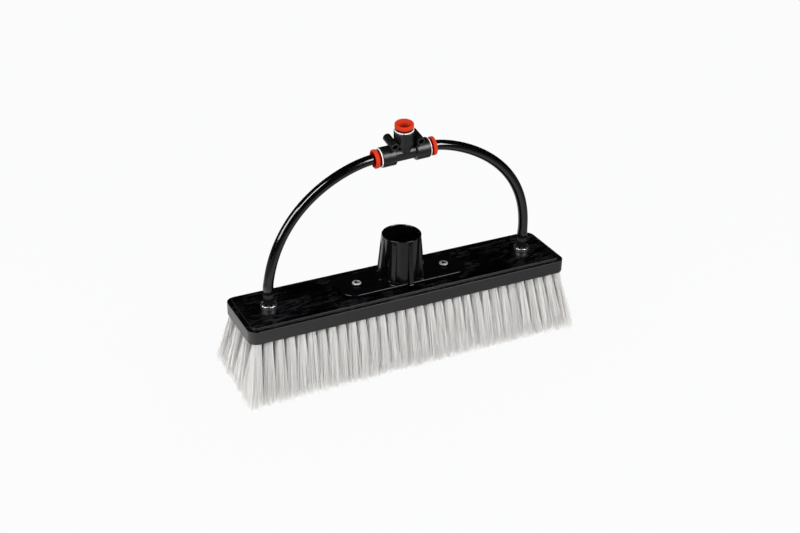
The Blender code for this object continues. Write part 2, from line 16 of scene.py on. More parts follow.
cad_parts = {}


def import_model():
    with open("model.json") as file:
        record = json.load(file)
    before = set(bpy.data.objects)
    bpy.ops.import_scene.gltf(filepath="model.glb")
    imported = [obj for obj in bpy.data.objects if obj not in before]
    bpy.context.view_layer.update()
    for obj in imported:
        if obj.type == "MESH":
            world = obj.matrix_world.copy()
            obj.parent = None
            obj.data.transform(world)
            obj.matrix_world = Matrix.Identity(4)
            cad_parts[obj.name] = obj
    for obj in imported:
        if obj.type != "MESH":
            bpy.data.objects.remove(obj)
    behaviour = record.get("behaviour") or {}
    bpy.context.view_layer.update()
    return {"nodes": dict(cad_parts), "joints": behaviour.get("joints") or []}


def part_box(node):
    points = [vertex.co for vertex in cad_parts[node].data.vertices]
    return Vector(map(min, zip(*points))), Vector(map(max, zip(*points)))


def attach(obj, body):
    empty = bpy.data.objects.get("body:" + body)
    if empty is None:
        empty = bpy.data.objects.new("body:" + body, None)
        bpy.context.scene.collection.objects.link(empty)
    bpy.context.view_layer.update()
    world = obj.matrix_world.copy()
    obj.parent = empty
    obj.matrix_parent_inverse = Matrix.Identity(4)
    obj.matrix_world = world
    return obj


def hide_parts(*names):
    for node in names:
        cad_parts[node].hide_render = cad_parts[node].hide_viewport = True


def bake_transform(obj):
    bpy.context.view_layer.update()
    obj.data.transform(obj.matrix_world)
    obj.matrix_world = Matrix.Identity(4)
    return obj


MM = 0.001
FIT_GAP = 0.3 * MM
SIDES = (("left", -1), ("right", 1))
PORTS = ("left", "right", "inlet")

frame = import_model()
joints = {joint["name"]: joint for joint in frame["joints"]}

# -------------------- places from the frame
block_low, block_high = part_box("brush_block")
socket_low, socket_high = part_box("pole_socket")
row_low, row_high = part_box("bristle_row_1")
BLOCK_LENGTH = block_high.x - block_low.x
BLOCK_WIDTH = block_high.y - block_low.y
BLOCK_BOTTOM = block_low.z
BLOCK_TOP = block_high.z
RIM_Z = socket_high.z
PLATE_BOTTOM = socket_low.z
HOSE_FOOT_Z = joints["hoop_sway"]["pos_m"][2]
TEE_CENTRE = Vector(joints["tee_swivel"]["pos_m"])
RUN_AXIS = Vector(joints["tee_swivel"]["axis"]).normalized()
INLET_AXIS = -Vector(joints["inlet_collet_release"]["axis"]).normalized()


def node_centre(node):
    low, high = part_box(node)
    return (low + high) / 2


JET_X = {side: node_centre(f"jet_stem_{side}").x for side, _ in SIDES}
SCREW_X = {side: node_centre(f"socket_screw_{side}").x for side, _ in SIDES}
SCREW_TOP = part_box("socket_screw_left")[1].z

# -------------------- sizes
BLOCK_CORNER = 8 * MM
LEDGE_WIDTH = 3.9 * MM
LEDGE_STEP = 1.7 * MM
BLOCK_EDGE_ROUND = 0.55 * MM

TUFT_PITCH = 9.07 * MM
ROW_PITCH = 8.75 * MM
ROWS = 7
LONG_ROW_TUFTS = 32
TUFT_ROOT_RADIUS = 3.55 * MM
TUFT_HOLE_DEPTH = 6 * MM
TUFT_HOLE_SEGMENTS = 16
TUFT_TIP_RADIUS_X = 6.1 * MM
TUFT_TIP_RADIUS_Y = 7.2 * MM
END_FAN = 0.015
END_SPLAY = 3.5 * MM
CORNER_SPLAY = 0.06
TIP_LENGTH = row_high.x - row_low.x
TIP_WIDTH = -2 * row_low.y
TUFT_WANDER = 0.3 * MM
TUFT_CLUMPS = 12
CLUMPING = 0.05
TIP_SCATTER = 0.045
STRAY_LIMIT = 2.5 * MM
SHORT_SHARE = 0.04
FILAMENTS = 290
FILAMENT_SIDES = 3
FILAMENT_RADIUS = 0.16 * MM
FILAMENT_SHARES = (0.0, 0.3, 0.7, 1.0)
FILAMENT_TAPER = (1.0, 1.0, 0.9, 0.5)
FIRST_ROW_SEED = 100

PLATE_LENGTH = 119 * MM
PLATE_WIDTH = 36 * MM
PLATE_CORNER = 12 * MM
PLATE_TOP = BLOCK_TOP + 3 * MM
SOCKET_RADIUS = 17.1 * MM
SOCKET_BORE_RADIUS = 15.6 * MM
RIB_COUNT = 8
RIB_WIDTH = 4 * MM
RIB_TOP_Z = RIM_Z - 4 * MM
RIB_TOP_RADIUS = 17.8 * MM
RIB_FOOT_RADIUS = 21.6 * MM
RIB_RUN_OUT = ((1.2 * MM, 0.66), (2.4 * MM, 0.28), (3.4 * MM, 0.0))
SOCKET_FILLET = 0.9 * MM

SCREW_HEAD_RADIUS = 4 * MM
SCREW_HEAD_HEIGHT = 1.9 * MM
SCREW_SHANK_RADIUS = 1.9 * MM
SCREW_LENGTH = 12 * MM
SCREW_RECESS = (
    (2.8 * MM, 1.2 * MM, -1.7 * MM),
    (4.8 * MM, 1.9 * MM, -0.6 * MM),
    (6 * MM, 2.5 * MM, 0.2 * MM))
SCREW_TURN_DEGREES = 35

JET_RADIUS = 4 * MM
JET_FLANGE_RADIUS = 5.7 * MM
JET_FLANGE_HEIGHT = 2.5 * MM
COLLAR_RADIUS = 4.25 * MM
COLLAR_Z = (BLOCK_TOP + 9.7 * MM, BLOCK_TOP + 12.7 * MM)
BARB_RADIUS = 3.1 * MM
RETAINER_RADIUS = 6.9 * MM
RETAINER_RIM_RADIUS = 5.9 * MM
RETAINER_TOOTH_RADIUS = 4.15 * MM
RETAINER_TEETH = 6
RETAINER_WALL_HEIGHT = 3.3 * MM
RETAINER_THICKNESS = 0.5 * MM
RETAINER_TOOTH_THICKNESS = 0.3 * MM
RETAINER_TOOTH_LIFT = 0.6 * MM
RETAINER_TURN = math.radians(114)
TOOTH_STEEPNESS = 16
TOOTH_THRESHOLD = 0.52
RETAINER_SEGMENTS = 192

HOSE_RADIUS = 4.3 * MM
HOSE_BORE_RADIUS = 3.2 * MM
HOSE_SWELL = 0.3 * MM
HOSE_SWELL_LENGTH = 5 * MM
FOOT_HANDLE = {"left": 80 * MM, "right": 78 * MM}
FOOT_LEAN = {"left": math.radians(7.6), "right": math.radians(-1.7)}
TEE_HANDLE = 14 * MM
HOSE_STEPS = 200
HOSE_SEGMENTS = 96

PORT_RADIUS = 8.6 * MM
WAIST_RADIUS = 6.4 * MM
PORT_START = 9.2 * MM
MOUTH = {"left": 21.2 * MM, "right": 21.2 * MM, "inlet": 21.5 * MM}
PORT_BORE_RADIUS = 7.2 * MM
PORT_BORE_DEPTH = 9 * MM
HOSE_SEAT_RADIUS = 4.6 * MM
HOSE_SEAT_DEPTH = 12.2 * MM
WATERWAY_RADIUS = 3 * MM
BOSS_X = 11.6 * MM
BOSS_Z = 12.4 * MM
BOSS_RADIUS = 3.55 * MM
BOSS_BORE_RADIUS = 2.1 * MM
BOSS_LENGTH = 17.8 * MM
WEB_LENGTH = 6 * MM
WEB_WIDTH = 2.4 * MM

RING_RADIUS = 8.2 * MM
RING_THICKNESS = 1.3 * MM
RING_BORE_RADIUS = 5.7 * MM
RING_SLEEVE_RADIUS = 6.9 * MM
RING_SLEEVE_DEPTH = 2.5 * MM
RING_SLOT_DEGREES = 245
COLLET_TRAVEL = 1.3 * MM
COLLET_FLANGE_RADIUS = 8.0 * MM
COLLET_FLANGE_THICKNESS = 3.4 * MM
COLLET_TUBE_RADIUS = 5.4 * MM
COLLET_BORE_RADIUS = 4.6 * MM
COLLET_LIP_RADIUS = 6.2 * MM

ROUND_SEGMENTS = 72
FINE_SEGMENTS = 96
SMALL_SEGMENTS = 48
HOLE_SEGMENTS = 32
SHARP_ANGLE = math.radians(32)

# -------------------- looks, light and camera
NYLON_TRANSLUCENCY = 0.6
INNER_ROOT_SHADE = 0.1
FLOOR_RADIUS = 4.0
FLOOR_WHITE = 0.945
BACKDROP_WHITE = 0.97
STUDIO_FILL = 2.3
ROOM_GREY = 0.004
LAMP_DISTANCE = 1.3
LAMP_BOUNCES = 2
CAMERA_AZIMUTH = math.radians(-26.878)
CAMERA_ELEVATION = math.radians(28.931)
CAMERA_ROLL = math.radians(1.104)
CAMERA_DISTANCE = 1.06606
CAMERA_LENS = 55.51
CAMERA_SENSOR = 36


# -------------------- mesh helpers

def rounded(corners, closed=True, steps=4):
    """Outline through (across, along, radius) corners, each rounded off with an arc."""
    points = []
    count = len(corners)
    for i, (across, along, radius) in enumerate(corners):
        here = Vector((across, along))
        if radius == 0 or (not closed and i in (0, count - 1)):
            points.append((across, along))
            continue
        to_last = (Vector(corners[i - 1][:2]) - here).normalized()
        to_next = (Vector(corners[(i + 1) % count][:2]) - here).normalized()
        half = to_last.angle(to_next) / 2
        reach = radius / math.tan(half)
        centre = here + (to_last + to_next).normalized() * radius / math.sin(half)
        first = here + to_last * reach - centre
        last = here + to_next * reach - centre
        start = math.atan2(first.y, first.x)
        turn = math.atan2(last.y, last.x) - start
        turn = (turn + math.pi) % (2 * math.pi) - math.pi
        for step in range(steps + 1):
            angle = start + turn * step / steps
            points.append((centre.x + radius * math.cos(angle), centre.y + radius * math.sin(angle)))
    return points


def circle(radius, z, count=ROUND_SEGMENTS):
    angles = [2 * math.pi * step / count for step in range(count)]
    return [Vector((radius * math.cos(a), radius * math.sin(a), z)) for a in angles]


def rounded_rectangle(length, width, corner, z, corner_steps=10):
    points = []
    for quarter, (side_x, side_y) in enumerate(((1, 1), (-1, 1), (-1, -1), (1, -1))):
        centre_x = side_x * (length / 2 - corner)
        centre_y = side_y * (width / 2 - corner)
        for step in range(corner_steps + 1):
            angle = math.pi / 2 * (quarter + step / corner_steps)
            points.append(Vector((centre_x + corner * math.cos(angle),
                                  centre_y + corner * math.sin(angle), z)))
    return points


def loft(sections, closed=False):
    """Mesh through sections of equal point count; open ones get a flat cap at each end."""
    mesh = bmesh.new()
    rings = [[mesh.verts.new(point) for point in section] for section in sections]
    pairs = list(zip(rings, rings[1:]))
    if closed:
        pairs.append((rings[-1], rings[0]))
    else:
        mesh.faces.new(rings[0])
        mesh.faces.new(rings[-1])
    for lower, upper in pairs:
        count = len(lower)
        for i in range(count):
            j = (i + 1) % count
            mesh.faces.new((lower[i], lower[j], upper[j], upper[i]))
    bmesh.ops.recalc_face_normals(mesh, faces=mesh.faces)
    data = bpy.data.meshes.new("loft")
    mesh.to_mesh(data)
    mesh.free()
    return data


def turned(outline, count=ROUND_SEGMENTS, closed=True):
    """Mesh of a (radius, z) outline turned around the Z axis."""
    return loft([circle(radius, z, count) for radius, z in outline], closed)


def stack(profile, length, width, corner):
    """Mesh of a rounded block whose sides follow a profile of (inset, z) points."""
    return loft([rounded_rectangle(length - 2 * inset, width - 2 * inset, corner - inset, z)
                 for inset, z in profile])


def add(name, data, matrix=None):
    """Object of a mesh, lamp or camera; a matrix moves the mesh itself."""
    data.name = name
    made = bpy.data.objects.new(name, data)
    bpy.context.scene.collection.objects.link(made)
    if matrix:
        data.transform(matrix)
    return made


def combine(piece, mesh, operation, matrix=None):
    """Cuts a mesh out of a piece, or joins it on, for good."""
    helper = add("helper", mesh, matrix)
    modifier = piece.modifiers.new("combine", 'BOOLEAN')
    modifier.operation = operation
    modifier.solver = 'EXACT'
    modifier.object = helper
    bpy.context.view_layer.update()
    evaluated = piece.evaluated_get(bpy.context.evaluated_depsgraph_get())
    result = bpy.data.meshes.new_from_object(evaluated)
    piece.modifiers.remove(modifier)
    old = piece.data
    piece.data = result
    result.name = piece.name
    bpy.data.meshes.remove(old)
    bpy.data.objects.remove(helper)


def dress(piece, material, body, node, weighted=True):
    """Shading, material and body of a finished piece; its CAD node is hidden."""
    piece.data.materials.clear()
    piece.data.materials.append(material)
    piece.data.shade_smooth()
    if weighted:
        piece.data.set_sharp_from_angle(angle=SHARP_ANGLE)
        modifier = piece.modifiers.new("even_shading", 'WEIGHTED_NORMAL')
        modifier.keep_sharp = True
    if body:
        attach(piece, body)
    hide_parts(node)


def along_z(direction, origin):
    """Matrix that takes a piece turned around Z to an axis of the tee."""
    depth = INLET_AXIS.cross(RUN_AXIS)
    across = depth.cross(direction)
    rotation = Matrix((across, depth, direction)).transposed()
    return Matrix.Translation(origin) @ rotation.to_4x4()


TEE = along_z(INLET_AXIS, TEE_CENTRE)
PORT_MATRIX = {
    "left": along_z(-RUN_AXIS, TEE_CENTRE),
    "right": along_z(RUN_AXIS, TEE_CENTRE),
    "inlet": TEE}


# -------------------- material helpers

class Nodes:
    """Shader nodes of a material, lamp or world, added with their inputs in one call each."""

    def __init__(self, owner):
        self.owner = owner
        owner.use_nodes = True
        self.tree = owner.node_tree
        self.tree.nodes.clear()
        self.coordinates = self.add('ShaderNodeTexCoord').outputs["Object"]

    def add(self, kind, inputs=None, **settings):
        made = self.tree.nodes.new(kind)
        for key, value in settings.items():
            setattr(made, key, value)
        for key, value in (inputs or {}).items():
            if isinstance(value, bpy.types.NodeSocket):
                self.tree.links.new(value, made.inputs[key])
            else:
                made.inputs[key].default_value = value
        return made

    def stretched(self, x, y, z):
        """Coordinates scaled by a factor along each axis."""
        return self.add('ShaderNodeMapping', {"Vector": self.coordinates, "Scale": (x, y, z)}).outputs[0]

    def noise(self, size, detail=3.0, roughness=0.5, distortion=0.0, vector=None):
        """Noise whose blotches are about size metres across."""
        return self.add('ShaderNodeTexNoise', {
            "Vector": vector or self.coordinates, "Scale": 1 / size, "Detail": detail,
            "Roughness": roughness, "Distortion": distortion}).outputs["Fac"]

    def ramp(self, value, low, high, low_out=0.0, high_out=1.0):
        """Maps low..high to low_out..high_out, clamped."""
        return self.add('ShaderNodeMapRange', {
            "Value": value, "From Min": low, "From Max": high,
            "To Min": low_out, "To Max": high_out}).outputs["Result"]

    def mix(self, factor, first, second):
        """Colour between two colours or colour sockets; 6, 7 and 2 are the node's colour sockets."""
        first, second = (value if isinstance(value, bpy.types.NodeSocket) else (*value, 1.0)
                         for value in (first, second))
        return self.add('ShaderNodeMix', {0: factor, 6: first, 7: second}, data_type='RGBA').outputs[2]

    def between(self, factor, first, second):
        """Number between two numbers or number sockets; 2, 3 and 0 are the node's number sockets."""
        return self.add('ShaderNodeMix', {0: factor, 2: first, 3: second}).outputs[0]

    def math(self, operation, first, second=0.0):
        return self.add('ShaderNodeMath', {0: first, 1: second}, operation=operation).outputs[0]

    def place(self):
        """X, Y and Z of the shaded point, in the frame."""
        return self.add('ShaderNodeSeparateXYZ', {0: self.coordinates}).outputs

    def openness(self, distance):
        """1 where nothing stands within a distance, towards 0 in corners and recesses."""
        return self.add('ShaderNodeAmbientOcclusion', {"Distance": distance}).outputs["AO"]

    def bump(self, height, depth):
        return self.add('ShaderNodeBump', {
            "Height": height, "Distance": depth, "Strength": 1.0}).outputs["Normal"]

    def finish(self, inputs):
        shader = self.add('ShaderNodeBsdfPrincipled', inputs)
        self.add('ShaderNodeOutputMaterial', {"Surface": shader.outputs[0]})
        return self.owner


def material_nodes(name):
    return Nodes(bpy.data.materials.new(name))


# -------------------- materials

def block_plastic():
    """Black plastic, polished on top with faint swirls, and grained satin on its sides."""
    nodes = material_nodes("block_plastic")
    normal_z = nodes.add('ShaderNodeSeparateXYZ', {
        0: nodes.add('ShaderNodeNewGeometry').outputs["Normal"]}).outputs["Z"]
    top = nodes.ramp(normal_z, 0.5, 0.9)
    swirls = nodes.noise(3.2 * MM, detail=8, roughness=0.6, distortion=1.3,
                         vector=nodes.stretched(0.2, 1.0, 1.0))
    streaks = nodes.ramp(swirls, 0.47, 0.68)
    patches = nodes.ramp(nodes.noise(30 * MM, detail=3), 0.4, 0.6)
    haze = nodes.math('MULTIPLY', streaks, patches)
    top_roughness = nodes.ramp(haze, 0.0, 1.0, 0.22, 0.45)
    side_roughness = nodes.ramp(nodes.noise(1.2 * MM, detail=6), 0.3, 0.7, 0.34, 0.5)
    top_colour = nodes.mix(haze, (0.0001, 0.0001, 0.00015), (0.009, 0.0095, 0.012))
    side_colour = nodes.mix(nodes.noise(0.9 * MM, detail=4), (0.001, 0.001, 0.0012), (0.005, 0.005, 0.0053))
    grain = nodes.noise(0.35 * MM, detail=3)
    side_grain = nodes.math('MULTIPLY', grain, nodes.ramp(top, 0.0, 1.0, 1.0, 0.04))
    return nodes.finish({
        "Base Color": nodes.mix(top, side_colour, top_colour),
        "Specular IOR Level": nodes.ramp(top, 0.0, 1.0, 0.62, 0.35),
        "Roughness": nodes.between(top, side_roughness, top_roughness),
        "Normal": nodes.bump(side_grain, 0.035 * MM)})


def socket_plastic():
    """Glossy black plastic with faint flow lines up the socket, dull on the plate's edge."""
    nodes = material_nodes("socket_plastic")
    lines = nodes.noise(0.8 * MM, detail=4, vector=nodes.stretched(1.0, 1.0, 0.06))
    drift = nodes.noise(6 * MM, detail=4)
    gloss = nodes.ramp(nodes.place()["Z"], PLATE_TOP - 0.6 * MM, PLATE_TOP - 0.3 * MM, 0.02, 0.5)
    return nodes.finish({
        "Specular IOR Level": gloss,
        "Base Color": nodes.mix(drift, (0.0003, 0.0003, 0.0004), (0.0012, 0.0012, 0.0015)),
        "Roughness": nodes.ramp(lines, 0.3, 0.7, 0.12, 0.22),
        "Normal": nodes.bump(lines, 0.005 * MM)})


def jet_plastic():
    """Dull black plastic; a painted sheen makes the collar below the hose slightly greyer."""
    nodes = material_nodes("jet_plastic")
    collar_low, collar_high = COLLAR_Z
    height = nodes.place()["Z"]
    edge = 0.15 * MM
    collar = nodes.math('MULTIPLY', nodes.ramp(height, collar_low - edge, collar_low + edge),
                        nodes.ramp(height, collar_high - edge, collar_high + edge, 1.0, 0.0))
    black = nodes.mix(nodes.noise(4 * MM, detail=3), (0.001, 0.001, 0.001), (0.003, 0.003, 0.003))
    # Painted sheen: the collar is painted a lighter grey than the rest of the stem.
    painted_collar_sheen = nodes.mix(nodes.noise(1.5 * MM, detail=4), (0.005, 0.005, 0.005), (0.014, 0.014, 0.014))
    return nodes.finish({
        "Base Color": nodes.mix(collar, black, painted_collar_sheen),
        "Roughness": nodes.ramp(collar, 0.0, 1.0, 0.4, 0.5),
        "Specular IOR Level": nodes.ramp(collar, 0.0, 1.0, 0.12, 0.2),
        "Normal": nodes.bump(nodes.noise(0.3 * MM, detail=2), 0.004 * MM)})


def bristle_nylon(name, root_shade=1.0):
    """Pale translucent nylon, streaked along the filaments.

    Little light comes in deep between the rows, so the colour fades to root_shade of its
    brightness at the root, except in the tufts at the ends of the block.
    """
    nodes = material_nodes(name)
    streaks = nodes.noise(1.3 * MM, detail=4, vector=nodes.stretched(1.0, 1.0, 0.05))
    place = nodes.place()
    body = nodes.mix(streaks, (0.76, 0.752, 0.742), (0.84, 0.832, 0.82))
    evened = nodes.mix(0.35, body, (0.83, 0.828, 0.822))
    above_tips = nodes.ramp(place["Z"], 0.0, BLOCK_BOTTOM * 0.35)
    lit = nodes.mix(above_tips, evened, body)
    last_gap = (LONG_ROW_TUFTS / 2 - 3) * TUFT_PITCH
    at_end = nodes.ramp(nodes.math('ABSOLUTE', place["X"]), last_gap - 2 * MM, last_gap + 2 * MM)
    up_to_root = nodes.ramp(place["Z"], BLOCK_BOTTOM * 0.4, BLOCK_BOTTOM * 0.9, 0.0, 1.0 - root_shade)
    shade = nodes.math('MULTIPLY', up_to_root, nodes.math('SUBTRACT', 1.0, at_end))
    colour = nodes.mix(shade, lit, (0.0, 0.0, 0.0))
    shader = nodes.add('ShaderNodeBsdfPrincipled', {
        "Base Color": colour,
        "Roughness": nodes.ramp(streaks, 0.3, 0.7, 0.4, 0.55),
        "Specular IOR Level": 0.15})
    through = nodes.add('ShaderNodeBsdfTranslucent', {"Color": colour})
    both = nodes.add('ShaderNodeMixShader', {
        0: NYLON_TRANSLUCENCY, 1: shader.outputs[0], 2: through.outputs[0]})
    nodes.add('ShaderNodeOutputMaterial', {"Surface": both.outputs[0]})
    return nodes.owner


def hose_plastic():
    """Extruded black tube, its gloss slightly uneven."""
    nodes = material_nodes("hose_plastic")
    drift = nodes.noise(7 * MM, detail=3)
    return nodes.finish({
        "Base Color": nodes.mix(drift, (0.0002, 0.0002, 0.0002), (0.0008, 0.0007, 0.0007)),
        "Roughness": nodes.ramp(nodes.noise(6 * MM, detail=2), 0.3, 0.7, 0.09, 0.13),
        "Specular IOR Level": 0.8})


def tee_plastic():
    """Charcoal glass-filled nylon with a fine spark-eroded grain."""
    nodes = material_nodes("tee_plastic")
    grain = nodes.noise(0.4 * MM, detail=4, roughness=0.65)
    drift = nodes.noise(4 * MM, detail=4)
    base = nodes.mix(drift, (0.0006, 0.0006, 0.0008), (0.0025, 0.0025, 0.003))
    return nodes.finish({
        "Base Color": nodes.mix(nodes.ramp(grain, 0.56, 0.72), base, (0.008, 0.008, 0.0085)),
        "Roughness": nodes.ramp(grain, 0.3, 0.7, 0.3, 0.42),
        "Specular IOR Level": 0.6,
        "Normal": nodes.bump(grain, 0.02 * MM)})


def collet_acetal():
    """Orange-red acetal, slightly translucent, with painted shade in its funnel and under its flange."""
    nodes = material_nodes("collet_acetal")
    drift = nodes.noise(2.5 * MM, detail=4)
    openness = nodes.openness(4 * MM)
    skin = nodes.mix(drift, (0.22, 0.011, 0.001), (0.29, 0.018, 0.003))
    return nodes.finish({
        # Painted shade: deep red where the surface is closed in, in the funnel and under the flange.
        "Base Color": nodes.mix(nodes.ramp(openness, 0.4, 0.95), (0.21, 0.0005, 0.0002), skin),
        "Roughness": nodes.ramp(nodes.noise(0.8 * MM, detail=4), 0.3, 0.7, 0.5, 0.65),
        "Specular IOR Level": 0.05,
        "Subsurface Weight": 0.1,
        "Subsurface Radius": (1.0, 0.25, 0.1),
        "Subsurface Scale": 0.8 * MM,
        "Normal": nodes.bump(nodes.noise(0.5 * MM, detail=2), 0.008 * MM)})


def ring_metal():
    """Pale satin ring, with painted shade, nearly black, in the gap below the collet."""
    nodes = material_nodes("port_ring_metal")
    openness = nodes.openness(3 * MM)
    pale = nodes.mix(nodes.noise(1.5 * MM, detail=5), (0.48, 0.445, 0.425), (0.63, 0.60, 0.58))
    return nodes.finish({
        # Painted shade: nearly black where the ring is closed in by the collet and the port.
        "Base Color": nodes.mix(nodes.ramp(openness, 0.4, 0.8), (0.02, 0.002, 0.001), pale),
        "Metallic": 0.3,
        "Roughness": nodes.ramp(nodes.noise(0.6 * MM, detail=5), 0.3, 0.7, 0.4, 0.55),
        "Normal": nodes.bump(nodes.noise(0.4 * MM, detail=3), 0.006 * MM)})


def metal(name, dark, light, roughness, scratch_size, metallic=1.0, recess=0.0):
    """Metal with fine scratches, a little tarnish, and painted shade in recesses of that size."""
    nodes = material_nodes(name)
    scratches = nodes.noise(scratch_size, detail=6, roughness=0.7, distortion=1.0,
                            vector=nodes.stretched(1.0, 0.25, 1.0))
    colour = nodes.mix(nodes.noise(2 * MM, detail=5), dark, light)
    if recess:
        # Painted shade: near black deep in the recess, such as the cross in a screw's head.
        unshaded = nodes.ramp(nodes.openness(recess), 0.75, 0.97)
        colour = nodes.mix(unshaded, (0.002, 0.002, 0.002), colour)
    return nodes.finish({
        "Base Color": colour,
        "Metallic": metallic,
        "Roughness": nodes.ramp(scratches, 0.3, 0.7, *roughness),
        "Normal": nodes.bump(scratches, 0.006 * MM)})


def rubber():
    """Dull black rubber with a fine grain."""
    nodes = material_nodes("seal_rubber")
    return nodes.finish({
        "Base Color": nodes.mix(nodes.noise(9 * MM, detail=4), (0.008, 0.008, 0.008), (0.02, 0.02, 0.02)),
        "Roughness": nodes.ramp(nodes.noise(3 * MM, detail=5), 0.3, 0.7, 0.6, 0.8),
        "Normal": nodes.bump(nodes.noise(0.2 * MM, detail=2), 0.01 * MM)})


# -------------------- block and bristles

def tufts_of_row(row):
    """Middle of each tuft's root in a row; rows are staggered, and jets take the room of some."""
    count = LONG_ROW_TUFTS - row % 2
    end = (LONG_ROW_TUFTS - 1) / 2 * TUFT_PITCH
    y = (row - (ROWS - 1) / 2) * ROW_PITCH
    clear_of_jet = JET_FLANGE_RADIUS + TUFT_ROOT_RADIUS
    for i in range(count):
        x = (i - (count - 1) / 2) * TUFT_PITCH
        x += x * END_FAN * (x / end) ** 4
        if all(math.hypot(x - jet_x, y) > clear_of_jet for jet_x in JET_X.values()):
            yield x, y


def brush_block(material):
    top_inset = LEDGE_WIDTH + 0.15 * MM
    profile = rounded([
        (2 * MM, BLOCK_BOTTOM, 0),
        (0, BLOCK_BOTTOM, BLOCK_EDGE_ROUND),
        (0, BLOCK_TOP - LEDGE_STEP, BLOCK_EDGE_ROUND),
        (LEDGE_WIDTH, BLOCK_TOP - LEDGE_STEP, 0.3 * MM),
        (top_inset, BLOCK_TOP, 0.5 * MM),
        (6 * MM, BLOCK_TOP, 0)], closed=False)
    block = add("brush_block_moulding", stack(profile, BLOCK_LENGTH, BLOCK_WIDTH, BLOCK_CORNER))

    holes = bmesh.new()
    for row in range(ROWS):
        for x, y in tufts_of_row(row):
            bmesh.ops.create_cone(
                holes, cap_ends=True, segments=TUFT_HOLE_SEGMENTS, radius1=TUFT_ROOT_RADIUS,
                radius2=TUFT_ROOT_RADIUS, depth=2 * TUFT_HOLE_DEPTH,
                matrix=Matrix.Translation((x, y, BLOCK_BOTTOM)))
    hole_mesh = bpy.data.meshes.new("tuft_holes")
    holes.to_mesh(hole_mesh)
    holes.free()
    combine(block, hole_mesh, 'DIFFERENCE')

    flange_top = BLOCK_BOTTOM + JET_FLANGE_HEIGHT + 2 * FIT_GAP
    for side, _ in SIDES:
        jet_hole = turned([
            (JET_RADIUS + FIT_GAP, BLOCK_TOP + 1 * MM),
            (JET_RADIUS + FIT_GAP, flange_top),
            (JET_FLANGE_RADIUS + FIT_GAP, flange_top),
            (JET_FLANGE_RADIUS + FIT_GAP, BLOCK_BOTTOM - 1 * MM)], closed=False)
        combine(block, jet_hole, 'DIFFERENCE', Matrix.Translation((JET_X[side], 0, 0)))
        screw_hole = turned([
            (SCREW_SHANK_RADIUS + FIT_GAP, BLOCK_TOP + 1 * MM),
            (SCREW_SHANK_RADIUS + FIT_GAP, SCREW_TOP - SCREW_LENGTH - FIT_GAP)], HOLE_SEGMENTS, closed=False)
        combine(block, screw_hole, 'DIFFERENCE', Matrix.Translation((SCREW_X[side], 0, 0)))
    dress(block, material, "brush", "brush_block")


def filament_mesh(roots, tips, bows):
    """One closed, tapering tube for each filament, from its root to its tip."""
    sides = FILAMENT_SIDES
    levels = len(FILAMENT_SHARES)
    t = np.array(FILAMENT_SHARES)[None, :, None]
    radii = np.array(FILAMENT_TAPER) * FILAMENT_RADIUS
    centres = roots[:, None, :] * (1 - t) + tips[:, None, :] * t + bows[:, None, :] * (4 * t * (1 - t))
    angles = 2 * math.pi * np.arange(sides) / sides
    spokes = np.stack([np.cos(angles), np.sin(angles), np.zeros(sides)], axis=1)
    points = centres[:, :, None, :] + radii[None, :, None, None] * spokes[None, None, :, :]

    first = np.arange(len(roots)) * levels * sides
    level = np.arange(levels - 1) * sides
    k = np.arange(sides)
    after = (k + 1) % sides
    wall = np.stack([k, sides + k, sides + after, after], axis=1)
    walls = (first[:, None, None, None] + level[None, :, None, None] + wall[None, None]).reshape(-1, 4)
    root_caps = first[:, None] + k[None, :]
    tip_caps = first[:, None] + (levels - 1) * sides + k[::-1][None, :]

    mesh = bpy.data.meshes.new("filaments")
    mesh.from_pydata(points.reshape(-1, 3), [], walls.tolist() + root_caps.tolist() + tip_caps.tolist())
    mesh.validate()
    return mesh


def tuft(x, y, tip_x, tip_y, random):
    """Roots, tips and bows of one tuft: round at the root, squarish and loosely clumped at the tip."""
    angle = random.uniform(0, 2 * math.pi, FILAMENTS)
    spread = np.sqrt(random.uniform(0, 1, FILAMENTS))
    direction = np.stack([np.cos(angle), np.sin(angle)], axis=1)
    disc = spread[:, None] * direction
    squarish = disc / np.abs(direction).max(axis=1)[:, None] ** 0.7
    clump = np.empty(FILAMENTS, dtype=int)
    clump[np.argsort(angle)] = np.arange(FILAMENTS) * TUFT_CLUMPS // FILAMENTS
    middles = np.array([squarish[clump == c].mean(axis=0) for c in range(TUFT_CLUMPS)])
    clumped = squarish * (1 - CLUMPING) + middles[clump] * CLUMPING
    fan = clumped + random.normal(0, TIP_SCATTER, disc.shape)
    stray = np.clip(random.standard_t(3, disc.shape) * 0.3 * MM, -STRAY_LIMIT, STRAY_LIMIT)
    trim = 0.6 * MM + np.abs(random.normal(0, 0.35 * MM, FILAMENTS))
    short = random.uniform(0, 1, FILAMENTS) < SHORT_SHARE
    trim[short] += random.uniform(0.5 * MM, 3 * MM, short.sum())
    root_reach = TUFT_ROOT_RADIUS - FILAMENT_RADIUS
    root = np.column_stack([
        x + disc[:, 0] * root_reach,
        y + disc[:, 1] * root_reach,
        np.full(FILAMENTS, BLOCK_BOTTOM + TUFT_HOLE_DEPTH / 2)])
    tip = np.column_stack([
        tip_x + fan[:, 0] * TUFT_TIP_RADIUS_X + stray[:, 0],
        tip_y + fan[:, 1] * TUFT_TIP_RADIUS_Y + stray[:, 1],
        trim])
    sideways = disc * 0.2 * MM + random.normal(0, 0.08 * MM, disc.shape)
    bow = np.column_stack([sideways, np.zeros(FILAMENTS)])
    return root, tip, bow


